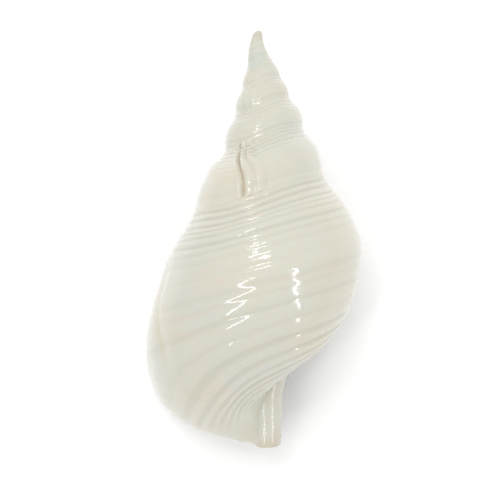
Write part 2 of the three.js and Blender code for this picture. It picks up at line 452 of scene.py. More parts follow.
class Chart:
    """The flat plan of the shell: which places of growth are joined, before any shape is given."""

    FIELDS = ("turn", "station", "gap", "sink_radius", "sink_depth", "forward", "past_end", "dome",
              "back", "hold", "deep_turn", "deep_station", "root_turn", "share", "deep_gap", "skin")

    def __init__(self, growth: Growth, mesh: Mesh) -> None:
        """Starts an empty chart.

        Args:
            growth: Sizes of the shell.
            mesh: How finely it is divided.
        """
        self.growth = growth
        self.mesh = mesh
        self.rows: list[dict[str, float]] = []
        self.faces: list[tuple[int, ...]] = []
        self.places: list[tuple[tuple[float, float], ...]] = []
        self.known: dict[tuple[int, int], int] = {}
        self.turn_list = self._turns()
        self.total = len(self.turn_list) - 1
        self.per_turn = len(self._one_turn())

    def _one_turn(self) -> list[float]:
        """Shares of a turn where steps lie, closer together where the folds are."""
        places: list[float] = []
        for step in range(self.mesh.steps):
            parts = self.mesh.fine if self.mesh.fine_from <= step < self.mesh.fine_to else 1
            places += [(step + part / parts) / self.mesh.steps for part in range(parts)]
        return places

    def _turns(self) -> list[float]:
        """Every step from the tip to the lip, in turns before the lip."""
        one = self._one_turn()
        whole = math.ceil(self.growth.turns)
        turns = [place - turn for turn in range(whole, 0, -1) for place in one]
        return [t for t in turns if t >= -self.growth.turns] + [0.0]

    def vertex(self, **values: float) -> int:
        """Adds a vertex, with values by the names in FIELDS, and returns its number."""
        self.rows.append(values)
        return len(self.rows) - 1

    def face(self, corners: Iterable[tuple[int, tuple[float, float]]]) -> None:
        """Adds a face.

        Args:
            corners: Vertex and (turn, station) of each corner, in order.
        """
        listed = list(corners)
        self.faces.append(tuple(corner[0] for corner in listed))
        self.places.append(tuple(corner[1] for corner in listed))

    def stations(self, last: bool) -> list[float]:
        """Stations of the columns.

        Args:
            last: Whether they run on over the base and the canal, as on the last whorl.

        Returns:
            The stations from the seam on.
        """
        grow, columns = self.growth, self.mesh.columns
        until = grow.root if last else grow.edge
        listed = [c / columns for c in range(until * columns + 1)]
        if last:
            canal = (grow.end - grow.root) * self.mesh.canal_columns
            listed += [grow.root + c / self.mesh.canal_columns for c in range(1, canal + 1)]
        return listed

    def skin(self, step: int, column: int, stations: list[float]) -> tuple[int, tuple[float, float]]:
        """The outer wall's vertex at a step and a column, shared where the next whorl is joined on.

        Args:
            step: Step from the tip.
            column: Column from the seam.
            stations: Stations of all columns.

        Returns:
            The vertex and its (turn, station).
        """
        place = (self.turn_list[step], stations[column])
        home = (step, column)
        if stations[column] == self.growth.edge and step + self.per_turn <= self.total:
            home = (step + self.per_turn, 0)
        if home not in self.known:
            self.known[home] = self.vertex(turn=self.turn_list[home[0]], station=stations[home[1]],
                                           hold=1.0, skin=1.0)
        return self.known[home], place

    def outer_wall(self) -> None:
        """Joins up the outer wall, with fewer columns on the small first whorls."""
        stations = self.stations(True)
        edge = self.growth.edge * self.mesh.columns
        for step in range(self.total):
            last = step >= self.total - self.per_turn
            count = len(stations) - 1 if last else edge
            here, there = self._stride(step), self._stride(step + 1)
            for column in range(0, count, here):
                a, b, c, e = (self.skin(step + on, column + right, stations)
                              for on in (0, 1) for right in (0, here))
                if here == there:
                    self.face((a, c, e, b))
                    continue
                d = self.skin(step + 1, column + there, stations)
                for corners in ((a, c, d), (a, d, b), (b, d, e)):
                    self.face(corners)

    def _stride(self, step: int) -> int:
        """How many fine columns one column covers at a step."""
        turn = self.turn_list[min(step, self.total)]
        if turn < self.mesh.quarter_before:
            return 4
        return 2 if turn < self.mesh.half_before else 1

    def crown(self) -> None:
        """Closes the worn tip with a low dome."""
        stations = self.stations(False)
        stride = self._stride(0)
        edge = len(stations) - 1
        ring = [self.skin(step, 0, stations)[0] for step in range(self.per_turn)]
        ring += [self.skin(0, column, stations)[0] for column in range(edge, 0, -stride)]
        for number in range(1, self.mesh.crown_rings + 1):
            height = number / (self.mesh.crown_rings + 1)
            inner = [self.vertex(turn=self.rows[v]["turn"], station=self.rows[v]["station"],
                                 dome=height, hold=1.0, skin=1.0) for v in ring]
            for i, v in enumerate(ring):
                n = (i + 1) % len(ring)
                place = (-self.growth.turns, 0.0)
                self.face(((v, place), (inner[i], place), (inner[n], place), (ring[n], place)))
            ring = inner
        top = self.vertex(turn=-self.growth.turns, station=0.0, dome=1.0, hold=1.0, skin=1.0)
        place = (-self.growth.turns, 0.0)
        for i, v in enumerate(ring):
            self.face(((top, place), (ring[(i + 1) % len(ring)], place), (v, place)))

    def rim(self) -> list[tuple[Mark, int]]:
        """The rim of the mouth: down the lip, round the canal end and up the inner side.

        Returns:
            Each mark with its vertex on the outer wall.
        """
        stations = self.stations(True)
        edge = self.growth.edge * self.mesh.columns
        last = len(stations) - 1
        start = self.total - self.per_turn
        found: list[tuple[Mark, int]] = []
        way = [(Part.LIP, self.total, column) for column in range(last + 1)]
        way += [(Part.END, step, last) for step in range(self.total - 1, start - 1, -1)]
        way += [(Part.INNER, start, column) for column in range(last - 1, edge, -1)]
        for part, step, column in way:
            vertex, (turn, station) = self.skin(step, column, stations)
            found.append((Mark(part, turn, station), vertex))
        canal = [i for i, (mark, _) in enumerate(found) if mark.station > self.growth.root]
        for number, i in enumerate(canal):
            mark, vertex = found[i]
            found[i] = (replace(mark, share=(number + 0.5) / len(canal)), vertex)
        return found

    def _edge_values(self, mark: Mark, share: float, swell: float) -> dict[str, float]:
        """Where a point of the rounded edge lies.

        Args:
            mark: Its mark on the rim.
            share: How far it is from the outer wall to the inner edge.
            swell: How far the rounding stands out, from 0 to 1.

        Returns:
            Values for the vertex.
        """
        grow = self.growth
        values = {"turn": mark.turn, "station": mark.station, "hold": 1.0}
        if mark.part is Part.END:
            return {**values, "sink_radius": -grow.canal_end_wall * share,
                    "sink_depth": -grow.canal_end_floor * share,
                    "past_end": grow.canal_end_round * swell}
        if mark.part is Part.LIP:
            canal = smooth((mark.station - 11) / 2)
            gap = grow.lip_wall + grow.bead(mark.station)
            values.update(sink_depth=-grow.canal_floor * canal * share, forward=grow.rim_radius * swell)
        else:
            canal = smooth((mark.station - 11.2) / 1.2)
            gap = grow.callus + grow.bead(mark.station - grow.edge)
            values.update(forward=grow.inner_rim_share * grow.rim_radius * swell)
        return {**values, "gap": gap * (1 - canal) * share,
                "sink_radius": -grow.canal_wall * canal * share}

    def _deep_values(self, mark: Mark, back: float) -> dict[str, float]:
        """Where a point of the hollow lies.

        Args:
            mark: Its mark on the rim.
            back: How many turns it is behind the lip.

        Returns:
            Values for the vertex.
        """
        grow = self.growth
        size = math.exp(-grow.rate * back)
        opening = 1 - smooth(back / grow.flare_turns)
        held = smooth((mark.station - 10) / 2.5) * opening
        values = self._edge_values(mark, 1.0, 0.0)
        values.update(back=back, hold=held)

        def inner_turn(station: float) -> float:
            """Turn of the inner side, which stays at the rim while the mouth opens."""
            return between(-(1 + back) / grow.winding(station), -1.0, opening)

        if mark.part is Part.LIP and mark.station <= grow.root:
            gap = size * grow.wall + grow.thickening * (1 - smooth((back - 0.6) / 0.6))
            gap = between(gap, grow.lip_wall, opening)
            gap += grow.bead(mark.station, size)
            values.update(deep_turn=-back / grow.winding(mark.station), deep_station=mark.station,
                          deep_gap=gap)
        elif mark.part is Part.INNER and mark.station <= grow.root:
            gap = between(size * grow.wall * 0.6, grow.callus, opening)
            gap += grow.bead(mark.station - grow.edge, size)
            values.update(deep_turn=inner_turn(mark.station), deep_station=mark.station, deep_gap=gap)
        else:
            values.update(deep_turn=-back / grow.winding(grow.root), deep_station=float(grow.root),
                          root_turn=inner_turn(grow.root), share=mark.share,
                          deep_gap=size * grow.wall)
        return values

    def _row(self, marks: list[Mark], values: Callable[[Mark], dict[str, float]]) -> list[int]:
        """Adds one loop of points."""
        return [self.vertex(**values(mark)) for mark in marks]

    def _join(self, outer: list[int], inner: list[int], stride: int, turn: float) -> None:
        """Joins two loops, where one point of the inner one may face several of the outer one.

        Args:
            outer: The loop nearer the rim.
            inner: The loop behind it.
            stride: Points of the outer loop to one of the inner loop.
            turn: Turn written into the chart for these faces.
        """
        count = len(outer)
        for i, vertex in enumerate(inner):
            after = inner[(i + 1) % len(inner)]
            fine = list(range(i * stride, min((i + 1) * stride, count) + 1))
            near = [outer[f % count] for f in fine]
            place = (turn, 0.0)
            if len(near) == 2:
                self.face(((near[1], place), (near[0], place), (vertex, place), (after, place)))
                continue
            half = len(near) // 2
            for f in range(half):
                self.face(((near[f + 1], place), (near[f], place), (vertex, place)))
            self.face(((near[half], place), (vertex, place), (after, place)))
            for f in range(half, len(near) - 1):
                self.face(((near[f + 1], place), (near[f], place), (after, place)))

    def hollow(self) -> None:
        """Rounds the edge of the mouth and lines the hollow behind it."""
        rim = self.rim()
        marks = [mark for mark, _ in rim]
        loop = [vertex for _, vertex in rim]
        rings = self.mesh.rim_rings
        for ring in range(1, rings + 1):
            angle = math.pi * ring / rings
            share, swell = (1 - math.cos(angle)) / 2, math.sin(angle)
            inner = self._row(marks, lambda m: self._edge_values(m, share, swell))
            self._join(loop, inner, 1, 0.0)
            loop = inner
        back, step = 0.0, self.mesh.first_row
        stride = 2
        marks = marks[::stride]
        while back < self.growth.cavity_turns:
            back += step
            step = min(self.mesh.widest_row, step * self.mesh.row_growth)
            inner = self._row(marks, lambda m: self._deep_values(m, back))
            self._join(loop, inner, stride, -back)
            loop, stride = inner, 1
        self._cap(loop, marks, back)

    def _cap(self, loop: list[int], marks: list[Mark], back: float) -> None:
        """Closes the far end of the hollow with ever smaller loops."""
        to_middle = self.growth.hollow_radius * math.exp(-self.growth.rate * back)
        for narrowing in self.mesh.cap_rings:
            def shrunk(mark: Mark) -> dict[str, float]:
                """The same mark, moved toward the middle of the section."""
                values = self._deep_values(mark, back + self.mesh.cap_step)
                values["deep_gap"] = between(values["deep_gap"], to_middle, narrowing)
                return values
            inner = self._row(marks, shrunk)
            self._join(loop, inner, 1, -back)
            loop = inner
        place = (-back, 0.0)
        end = self._deep_values(marks[0], back + self.mesh.cap_step)
        end["deep_gap"] = self.growth.far_inward
        middle = self.vertex(**end)
        for i, vertex in enumerate(loop):
            self.face(((loop[(i + 1) % len(loop)], place), (vertex, place), (middle, place)))

    def as_object(self) -> bpy.types.Object:
        """Writes the chart into a mesh whose attributes say where each vertex belongs.

        Returns:
            The object that the tree then shapes.
        """
        mesh = bpy.data.meshes.new("growth_chart")
        points = [(row["turn"], row["station"], row.get("back", 0.0)) for row in self.rows]
        mesh.from_pydata(points, [], self.faces)
        for name in self.FIELDS:
            attribute = mesh.attributes.new(name, "FLOAT", "POINT")
            attribute.data.foreach_set("value", [row.get(name, 0.0) for row in self.rows])
        layer = mesh.uv_layers.new(name="chart")
        flat = [number for corners in self.places for place in corners for number in place]
        layer.data.foreach_set("uv", flat)
        made = bpy.data.objects.new("shell_body", mesh)
        bpy.context.scene.collection.objects.link(made)
        return made


# ---------------------------------------------------------------- the growth tree
SECTIONS = ("Whorl Section", "Lip Edge")


class WallGroup(ShapeTree):
    """A node group: radius, depth and angle of the outer wall at a turn and a station."""

    SIZES = ("Growth Rate", "Seam Depth", "Varix Height")

    def __init__(self, growth: Growth) -> None:
        """Builds the group.

        Args:
            growth: Sizes of the shell.
        """
        inputs = [(name, "Geometry") for name in SECTIONS]
        inputs += [(name, "Float") for name in ("Turn", "Station", *self.SIZES)]
        super().__init__("wall of a whorl", inputs,
                         [(name, "Float") for name in ("Radius", "Depth", "Angle")])
        self.growth = growth
        self._build()

    def _outline(self, name: str, station: Formula, count: int) -> tuple[Formula, Formula]:
        """Follows a section's smooth curve.

        Args:
            name: Which section.
            station: Place along it.
            count: How many points it has.

        Returns:
            Radius and depth in millimetres.
        """
        graph = self.graph
        whole = graph.math("FLOOR", station)
        first = graph.math("MINIMUM", graph.math("MAXIMUM", whole, 0.0), count - 2.0)
        along = graph.math("MINIMUM", station - first, 1.0)
        square = along * along
        cube = square * along
        weights = (square - 0.5 * along - 0.5 * cube, 1 - 2.5 * square + 1.5 * cube,
                   0.5 * along + 2 * square - 1.5 * cube, 0.5 * cube - 0.5 * square)
        where = graph.value("GeometryNodeInputPosition")
        shares = []
        for number, weight in enumerate(weights):
            point = graph.value("GeometryNodeSampleIndex",
                                {"data_type": "FLOAT_VECTOR", "domain": "POINT", "clamp": True},
                                {"Geometry": self._input(name), "Value": where,
                                 "Index": first + float(number)})
            shares.append(graph.vector("SCALE", point, scale=weight))
        radius, depth, _ = graph.split(reduce(lambda a, b: graph.vector("ADD", a, b), shares))
        return radius, depth

    def _seam(self, turn: Formula) -> tuple[Formula, Formula]:
        """The seam where the whorl at this turn starts.

        Args:
            turn: Turns before the lip.

        Returns:
            Radius and depth in millimetres.
        """
        grow, graph = self.growth, self.graph
        shifted = turn + grow.seam_step_turn
        away = shifted - graph.math("ROUND", shifted)
        step = grow.seam_step * graph.hump(away, 0.0, grow.seam_step_width)
        depth = self._input("Seam Depth") * graph.math("EXPONENT", grow.seam_rate * turn + step)
        ratio = graph.blend(grow.spire_ratio, grow.last_ratio, graph.ramp(depth, *grow.shoulder_depths))
        blunt = grow.tip_bluntness * graph.math("EXPONENT", depth / -grow.tip_blunt_depth)
        return ratio * depth + blunt, depth

    def _varix(self, turn: Formula, station: Formula, arch: Formula) -> Formula:
        """How far an old lip swells the whorl.

        Args:
            turn: Turns before the lip.
            station: Place along the section.
            arch: How far the place is from both seams, from 0 to 1.

        Returns:
            A number from 0 to 1.
        """
        grow, graph = self.growth, self.graph
        steps = turn / -grow.varix_step
        nearest = graph.math("MAXIMUM", graph.math("ROUND", steps), 1.0)
        off = (steps - nearest) * grow.varix_step
        base = graph.window(station, (3, grow.edge), grow.canal_from) * graph.ramp(turn, *grow.takes_over)
        swell = graph.math("MINIMUM", arch + base, 1.0)
        return graph.hump(off, 0.0, grow.varix_width) * swell * graph.ramp(turn, -6, -4)

    def _build(self) -> None:
        """Writes the growth rule."""
        grow, graph = self.growth, self.graph
        turn, station = self._input("Turn"), self._input("Station")
        rate = self._input("Growth Rate")
        start_point, join_point = grow.whorl.points[0], grow.whorl.points[grow.edge]
        root_point = grow.whorl.points[grow.root]

        size = graph.math("EXPONENT", rate * turn)
        on_section = graph.math("MINIMUM", station, float(grow.root))
        section_radius, section_depth = self._outline(SECTIONS[0], on_section, len(grow.whorl.points))
        past_root = graph.math("MAXIMUM", (station - float(grow.root)) / 2.0, 0.0)
        canal = graph.math("MINIMUM", past_root, 1.0)
        to_root = graph.ramp(station, *grow.canal_from)
        radius = size * section_radius + (grow.canal_radius - size * root_point[0]) * to_root
        radius = radius - (grow.canal_radius - grow.canal_end_radius) * canal
        depth = size * section_depth + (grow.length - size * root_point[1]) * canal

        seam_radius, seam_depth = self._seam(turn)
        at_top = graph.fall(station, 0, grow.edge)
        radius = radius + (seam_radius - size * start_point[0]) * at_top
        depth = depth + (seam_depth - size * start_point[1]) * at_top

        join_turn = graph.math("MINIMUM", turn, -1.0)
        join_size = graph.math("EXPONENT", rate * join_turn)
        join_radius, join_depth = self._seam(join_turn + 1.0)
        joined = graph.fall(turn, -1.0, -0.55)
        rise = graph.window(station, (0, grow.edge), (grow.edge, 10)) * joined
        radius = radius + (join_radius - join_size * join_point[0]) * rise
        depth = depth + (join_depth - join_size * join_point[1]) * rise

        arch = graph.math("SINE", math.pi * graph.math("MINIMUM", station / float(grow.edge), 1.0))
        radius = radius + grow.whorl_swell * size * arch * graph.fall(turn, -1.15, -0.85)
        radius = radius * (1 + self._input("Varix Height") * self._varix(turn, station, arch))
        worn = graph.fall(turn, *grow.worn_from)
        straight = station / float(grow.edge)
        radius = graph.blend(radius, graph.blend(seam_radius, join_radius, straight), worn)
        depth = graph.blend(depth, graph.blend(seam_depth, join_depth, straight), worn)
        flare = graph.ramp(turn, -grow.flare_turns, 0.0) ** 2.0
        lip_radius, lip_depth = self._outline(SECTIONS[1], station, len(grow.lip.points))
        radius = graph.blend(radius, lip_radius, flare)
        depth = graph.blend(depth, lip_depth, flare)
        opened = graph.ramp(station, *grow.canal_opens) ** grow.canal_opening_power
        winding = 1 - grow.canal_opening * opened
        angle = FULL_TURN * turn * winding + grow.lip_angle
        graph.node("NodeGroupOutput", inputs={"Radius": radius, "Depth": depth, "Angle": angle})


class GrowthTree(ShapeTree):
    """The tree that winds the chart up, cuts its cords and lays the shell down."""

    SIZES = (("Growth Rate", "rate"), ("Seam Depth", "seam_depth"), ("Varix Height", "varix_height"),
             ("Canal Bend", "canal_bend"), ("Pitch", "pitch"), ("Roll", "roll"))

    def __init__(self, growth: Growth, relief: Relief, material: bpy.types.Material) -> None:
        """Builds the tree.

        Args:
            growth: Sizes of the shell.
            relief: Its cords and folds.
            material: The finish that the tree sets.
        """
        self.growth = growth
        self.relief = relief
        self.wall = WallGroup(growth)
        values = {name: getattr(growth, size) for name, size in self.SIZES}
        values.update({"Groove Depth": 1.0, "Waviness": relief.waviness, "Seed": 7.0})
        super().__init__("growth of the shell", [
            ("Geometry", "Geometry"), *((name, "Object") for name in SECTIONS),
            *((name, "Float") for name in values), ("Material", "Material")],
            [("Geometry", "Geometry")])
        self.tree.is_modifier = True
        self.inputs: dict[str, Any] = {**values, "Material": material}
        self._build()

    def _attribute(self, name: str) -> Formula:
        """A number that the chart holds for each vertex."""
        return self.graph.value("GeometryNodeInputNamedAttribute", {"data_type": "FLOAT"},
                                {"Name": name})

    def _wall_at(self, turn: Operand, station: Operand) -> list[Formula]:
        """Radius, depth and angle of the outer wall at a turn and a station."""
        inputs: dict[Union[int, str], Any] = {"Turn": turn, "Station": station}
        for name in SECTIONS:
            inputs[name] = self.graph.value("GeometryNodeObjectInfo", inputs={0: self._input(name)},
                                            output="Geometry")
        for name in WallGroup.SIZES:
            inputs[name] = self._input(name)
        node = self.graph.node("GeometryNodeGroup", {"node_tree": self.wall.tree}, inputs)
        return [Formula(self.graph, output) for output in node.outputs[:3]]

    def _inward(self, radius: Formula, depth: Formula, gap: Formula,
                size: Operand) -> tuple[Formula, Formula]:
        """Moves a place off the wall toward the middle of the section.

        Args:
            radius: Radius of the place.
            depth: Its depth.
            gap: How far it moves, in millimetres.
            size: Size of the whorl there, 1 at the lip.

        Returns:
            The new radius and depth.
        """
        graph, middle = self.graph, self.growth.middle
        to_radius = size * middle[0] - radius
        to_depth = size * middle[1] - depth
        distance = graph.math("SQRT", to_radius * to_radius + to_depth * to_depth)
        share = graph.math("MINIMUM", gap / distance, 0.9)
        return radius + to_radius * share, depth + to_depth * share

    def _place(self, radius: Formula, depth: Formula, angle: Formula, station: Formula) -> Formula:
        """Turns a place about the axis, with the canal bent toward the lip.

        Args:
            radius: Distance from the axis.
            depth: Distance below the tip.
            angle: Angle about the axis.
            station: Place along the section.

        Returns:
            The position in millimetres.
        """
        graph, grow = self.graph, self.growth
        bend = graph.ramp(depth, *grow.canal_bend_depths) * self._input("Canal Bend")
        beyond = graph.math("MAXIMUM", depth - grow.canal_bend_depths[1], 0.0)
        bend = bend + grow.canal_bend_slope * beyond
        lean = grow.tip_lean * graph.hump(depth, grow.tip_lean_depth, grow.tip_lean_width)
        x = radius * graph.math("COSINE", angle) - bend * graph.ramp(station, 8, 12) - lean
        return graph.combine(x, -depth, radius * graph.math("SINE", angle))

    def _grown(self) -> Formula:
        """Position of every vertex of the chart on the smooth shell."""
        graph, grow = self.graph, self.growth
        station = self._attribute("station")
        radius, depth, angle = self._wall_at(self._attribute("turn"), station)
        radius, depth = self._inward(radius, depth, self._attribute("gap"), 1.0)
        radius = radius + self._attribute("sink_radius")
        depth = depth + self._attribute("sink_depth")
        dome = self._attribute("dome")
        radius = radius * graph.math("SQRT", 1 - dome * dome)
        depth = depth * (1 - 0.8 * dome)
        edge = self._place(radius, depth, angle, station)
        ahead = graph.combine(-math.sin(grow.lip_angle), 0.0, math.cos(grow.lip_angle))
        edge = graph.vector("ADD", edge, graph.vector("SCALE", ahead, scale=self._attribute("forward")))
        beyond = graph.combine(0.0, -self._attribute("past_end"), 0.0)
        edge = graph.vector("ADD", edge, beyond)

        deep_station = self._attribute("deep_station")
        radius, depth, angle = self._wall_at(self._attribute("deep_turn"), deep_station)
        across_radius, across_depth, _ = self._wall_at(self._attribute("root_turn"), float(grow.root))
        share = self._attribute("share")
        radius = graph.blend(radius, across_radius, share)
        depth = graph.blend(depth, across_depth, share)
        size = graph.math("EXPONENT", -(self._input("Growth Rate") * self._attribute("back")))
        radius, depth = self._inward(radius, depth, self._attribute("deep_gap"), size)
        deep = self._place(radius, depth, angle, deep_station)
        away = graph.vector("SUBTRACT", edge, deep)
        return graph.vector("ADD", deep, graph.vector("SCALE", away, scale=self._attribute("hold")))

    def _noise(self, scale: float, stretch: tuple[float, float, float]) -> Formula:
        """Smooth noise about zero.

        Args:
            scale: Waves per millimetre.
            stretch: Further factor along each axis.

        Returns:
            A number from about -1 to 1.
        """
        graph = self.graph
        where = graph.vector("MULTIPLY", graph.value("GeometryNodeInputPosition"), stretch)
        noise = graph.value("ShaderNodeTexNoise", {"noise_dimensions": "4D"},
                            {"Vector": where, "W": self._input("Seed"), "Scale": scale,
                             "Detail": 2.0, "Roughness": 0.45})
        return 2 * noise - 1.0

    def _relief(self) -> tuple[Formula, Formula]:
        """Height of cords, grooves and folds over the smooth wall.

        Returns:
            The height in millimetres, and how deep in a groove the place is, from 0 to 1.
        """
        graph, relief, grow = self.graph, self.relief, self.growth
        turn, station = self._attribute("turn"), self._attribute("station")
        size = graph.math("EXPONENT", relief.shrink * turn)
        last = graph.ramp(turn, *grow.takes_over)
        cut, fine, grooved = self._cords(turn, station, last)
        folds, crack = self._old_lips(turn, station, last)

        filled = graph.hump(station, 0.0, 0.30)
        filled = filled + relief.lower_seam_fill * graph.hump(station, 5.0, 0.30) * (1 - last)
        crease = relief.crease(graph, turn, station, 0.009, (6.5, 8.5))
        bulge = relief.bulge * graph.hump(turn, -1.08, 0.10) * graph.hump(station, 1.2, 1.0)
        waves = self._noise(0.09, (1.0, 1.6, 1.0)) + 0.35 * self._noise(0.30, (1.0, 1.6, 1.0))
        waves = self._input("Waviness") * waves
        height = relief.seam_fill * filled - cut + fine + folds + bulge - relief.lip_crease * crease
        height = height * size + waves * graph.ramp(turn, -5.0, -1.0) * graph.fall(station, 13, 14)
        skin = self._attribute("skin")
        height = height * skin * (1 - graph.math("GREATER_THAN", self._attribute("dome"), 0.0))
        return height, graph.math("MINIMUM", grooved + crack * 2.0, 1.0) * skin

    def _cords(self, turn: Formula, station: Formula, last: Formula) -> tuple[Formula, Formula, Formula]:
        """Spiral cords and the grooves between them.

        Args:
            turn: Turns before the lip.
            station: Place along the section.
            last: 1 on the last whorl and 0 before it.

        Returns:
            Depth of the grooves and height of the fine cords, in millimetres, and how grooved the
            place is for the finish.
        """
        graph, relief = self.graph, self.relief
        # near the lip the cords fan out toward its lower edge
        fan = graph.ramp(turn, -0.36, 0.06) ** 1.6 * graph.ramp(station, 5.5, 10.0)
        drift = relief.drift * self._noise(0.035, (1.0, 1.0, 1.0))
        spread = graph.blend(relief.spire_spread, 1.0, graph.ramp(turn, -2.3, -1.2))
        cord = station * spread - relief.fan * fan + drift
        grooves = reduce(add, [groove.depth * graph.hump(cord, groove.station, groove.width)
                               for groove in relief.grooves])
        uneven = 1 + relief.uneven * self._noise(0.045, (1.0, 1.4, 1.0))
        near_seam = graph.ramp(station, 0.0, 0.25) * (1 - (1 - last) * graph.ramp(station, 4.6, 5.0))
        at_lip = 1 - 0.75 * graph.ramp(turn, -0.05, -0.008) * last
        fade = near_seam * graph.fall(station, 10.2, 11.4) * at_lip
        calm = 1 - relief.calm * graph.hump(station, 2.7, 1.5) * (1 - last)
        strength = self._input("Groove Depth") * uneven * graph.blend(0.90, 1.15, last) * calm
        fine = graph.math("SINE", cord * relief.fine_pitch) * relief.fine_cord
        return grooves * strength * fade, fine * fade, 1.3 * grooves * fade * calm

    def _old_lips(self, turn: Formula, station: Formula, last: Formula) -> tuple[Formula, Formula]:
        """Ridges that old lips left, with the youngest one's crack going on above the seam.

        Args:
            turn: Turns before the lip.
            station: Place along the section.
            last: 1 on the last whorl and 0 before it.

        Returns:
            Their height in millimetres, and 1 inside the youngest crack.
        """
        graph, relief, spacing = self.graph, self.relief, self.growth.varix_step
        lean = relief.fold_lean * graph.fall(station, -0.8, 4.0)
        wobble = 0.0025 * self._noise(0.10, (0.4, 1.0, 0.4))
        upper = turn + (1.0 - relief.fold_turn - 0.93 * relief.fold_lean) + wobble
        local = turn - relief.fold_turn - lean + wobble
        window = graph.window(station, (0.0, 0.4), (4.75, 5.0))
        above = graph.ramp(station, 4.1, 4.7) * (1 - last)
        older = turn - relief.fold_turn + spacing
        again = older - spacing * graph.math("ROUND", older / spacing)
        early = graph.fall(turn, -1.75, -1.6)
        folds = self._folds(local, 1.0) * window + relief.fold_above * self._folds(upper, 1.0) * above
        folds = folds + self._folds(again, relief.older_spread) * window * early * relief.older_fold
        crack = graph.hump(local, 0.0, relief.crack_width) * window
        return folds, crack + graph.hump(upper, 0.0, relief.crack_width) * above

    def _folds(self, local: Formula, spread: float) -> Formula:
        """Ridges and cracks of an old lip.

        Args:
            local: Turns from its crack.
            spread: How much wider it is than the youngest one.

        Returns:
            Height in millimetres.
        """
        return reduce(add, [
            fold.height * self.graph.hump(local, fold.turn * spread, fold.width * spread)
            for fold in self.relief.folds])

    def _build(self) -> None:
        """Strings the steps together."""
        graph = self.graph
        shape = graph.value("GeometryNodeSetPosition", inputs={
            "Geometry": self._input("Geometry"), "Position": self._grown()})
        height, groove = self._relief()
        shape = graph.value("GeometryNodeStoreNamedAttribute", {"data_type": "FLOAT", "domain": "POINT"},
                            {"Geometry": shape, "Name": "groove", "Value": groove})
        normal = graph.value("GeometryNodeInputNormal")
        shape = graph.value("GeometryNodeSetPosition", inputs={
            "Geometry": shape, "Offset": graph.vector("SCALE", normal, scale=height)})
        place = graph.value("GeometryNodeInputPosition")
        for axis, name in (("Y_AXIS", "Roll"), ("X_AXIS", "Pitch")):
            place = graph.value("ShaderNodeVectorRotate", {"rotation_type": axis},
                                {"Vector": place, "Angle": self._input(name) * (math.pi / 180)})
        shape = graph.value("GeometryNodeSetPosition", inputs={
            "Geometry": shape, "Position": graph.vector("SCALE", place, scale=MM)})
        box = graph.node("GeometryNodeBoundBox", inputs={"Geometry": shape})
        low, high = Formula(graph, box.outputs["Min"]), Formula(graph, box.outputs["Max"])
        middle = graph.vector("SCALE", graph.vector("ADD", low, high), scale=0.5)
        middle_x, middle_y, _ = graph.split(middle)
        _, _, low_z = graph.split(low)
        down = graph.combine(-middle_x, -middle_y, -low_z)
        shape = graph.value("GeometryNodeSetPosition", inputs={"Geometry": shape, "Offset": down})
        shape = graph.value("GeometryNodeSetShadeSmooth", inputs={"Geometry": shape})
        shape = graph.value("GeometryNodeRealizeInstances", inputs={"Geometry": shape})
        shape = graph.value("GeometryNodeSetMaterial", inputs={
            "Geometry": shape, "Material": self._input("Material")})
        graph.node("NodeGroupOutput", inputs={"Geometry": shape})

    def grow(self, chart: bpy.types.Object) -> bpy.types.Object:
        """Runs the tree on the chart and keeps the result as a plain mesh.

        Args:
            chart: The chart's object.

        Returns:
            The same object, with the grown mesh.
        """
        outlines = (self.growth.whorl, self.growth.lip)
        sections = {name: outline.as_object() for name, outline in zip(SECTIONS, outlines)}
        modifier = chart.modifiers.new("growth", "NODES")
        modifier.node_group = self.tree
        for item in self.tree.interface.items_tree:
            if item.item_type == "SOCKET" and item.in_out == "INPUT" and item.name != "Geometry":
                value = sections.get(item.name, self.inputs.get(item.name))
                modifier[item.identifier] = value
        graph = bpy.context.evaluated_depsgraph_get()
        grown = bpy.data.meshes.new_from_object(chart.evaluated_get(graph), depsgraph=graph)
        chart.modifiers.remove(modifier)
        chart.data = grown
        for section in sections.values():
            bpy.data.objects.remove(section)
        for name in Chart.FIELDS:
            grown.attributes.remove(grown.attributes[name])
        return chart


